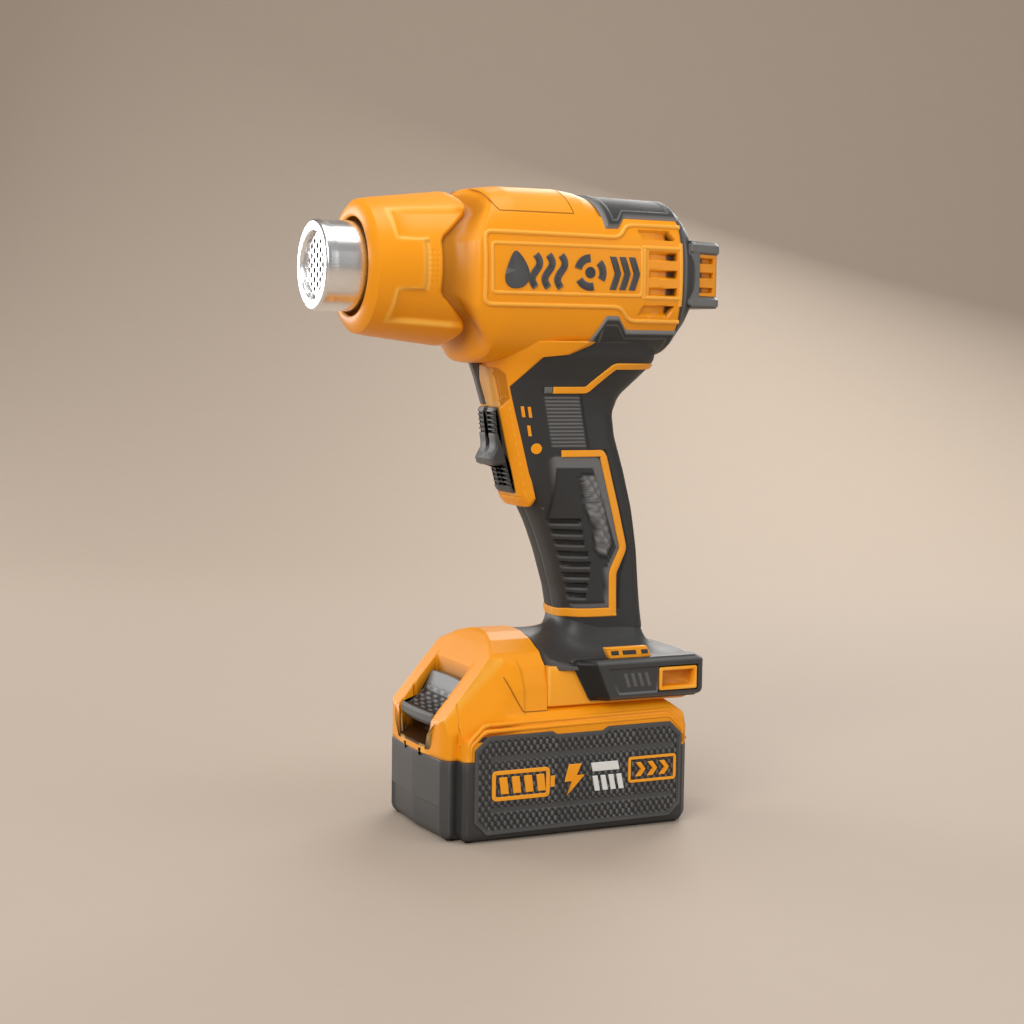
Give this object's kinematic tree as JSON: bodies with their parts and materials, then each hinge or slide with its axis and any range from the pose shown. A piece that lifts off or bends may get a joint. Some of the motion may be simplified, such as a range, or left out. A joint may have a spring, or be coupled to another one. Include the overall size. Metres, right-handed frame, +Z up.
{
  "type": "heat gun",
  "caption": "Cordless pistol-grip heat gun: steel nozzle with perforated outlet, heater and fan in an orange shell, slide switch on the neck, battery pack sliding onto the foot.",
  "frame": {"origin": "centre of the flat face that the battery pack rests on", "axes": "+X the way the hot air leaves the nozzle, +Y the tool's left side, +Z up"},
  "size_m": [0.185, 0.082, 0.2768],
  "materials": {
    "orange_shell": "satin moulded",
    "graphite_plastic": "fine texture",
    "grip_rubber": "soft matt",
    "polished_steel": "polished",
    "dull_steel": "dull",
    "heater_ceramic": "unglazed",
    "black_plastic": "plain",
    "contact_brass": "bright",
    "circuit_board": "lacquered",
    "cell_wrap": "shrink wrap"
  },
  "bodies": {
    "tool": {"nozzle_tube": "polished_steel", "nozzle_grille": "dull_steel", "front_shroud": "orange_shell", "heater_sleeve": "heater_ceramic", "heater_core": "heater_ceramic", "heating_coil": "dull_steel", "thermal_cutout": "dull_steel", "fan_duct": "black_plastic", "motor_can": "dull_steel", "left_housing": "orange_shell", "right_housing": "orange_shell", "left_grip": "grip_rubber", "right_grip": "grip_rubber", "rear_top_guard": "grip_rubber", "left_bottom_guard": "grip_rubber", "right_bottom_guard": "grip_rubber", "rear_cap": "graphite_plastic", "rear_grille": "orange_shell", "switch_module": "black_plastic", "switch_guide": "black_plastic", "control_board": "circuit_board", "terminal_block": "black_plastic", "left_terminal_blade": "contact_brass", "right_terminal_blade": "contact_brass", "left_foot_bumper": "graphite_plastic", "right_foot_bumper": "graphite_plastic", "left_socket_insert": "orange_shell", "right_socket_insert": "orange_shell", "left_window_insert": "orange_shell", "right_window_insert": "orange_shell", "housing_screw_1": "dull_steel", "housing_screw_2": "dull_steel", "housing_screw_3": "dull_steel", "housing_screw_4": "dull_steel", "housing_screw_5": "dull_steel", "housing_screw_6": "dull_steel"},
    "fan": {"motor_shaft": "polished_steel", "fan_impeller": "black_plastic"},
    "switch": {"switch_slider": "graphite_plastic"},
    "battery": {"battery_lower_case": "graphite_plastic", "battery_upper_case": "orange_shell", "left_battery_panel": "graphite_plastic", "right_battery_panel": "graphite_plastic", "latch_spring": "dull_steel", "cell_holder": "black_plastic", "cell_1": "cell_wrap", "cell_2": "cell_wrap", "cell_3": "cell_wrap", "cell_4": "cell_wrap", "cell_5": "cell_wrap", "cell_6": "cell_wrap", "cell_7": "cell_wrap", "cell_8": "cell_wrap", "cell_9": "cell_wrap", "cell_10": "cell_wrap", "battery_board": "circuit_board", "battery_connector": "black_plastic"},
    "release": {"release_button": "graphite_plastic"}
  },
  "joints": [
    {"name": "fan_spin", "type": "hinge", "parent": "tool", "child": "fan", "pos_m": [0, 0, 0.241], "axis": [1, 0, 0], "continuous": true},
    {"name": "switch_slide", "type": "slide", "parent": "tool", "child": "switch", "axis": [0.2297, 0, 0.9733], "range_m": [0, 0.016]},
    {"name": "battery_slide", "type": "slide", "parent": "tool", "child": "battery", "axis": [1, 0, 0], "range_m": [0, 0.12]},
    {"name": "release_press", "type": "slide", "parent": "battery", "child": "release", "axis": [0, 0, -1], "range_m": [0, 0.0035], "stiffness_N_per_m": 800, "springref_m": -0.002, "deforming": ["latch_spring"]}
  ]
}
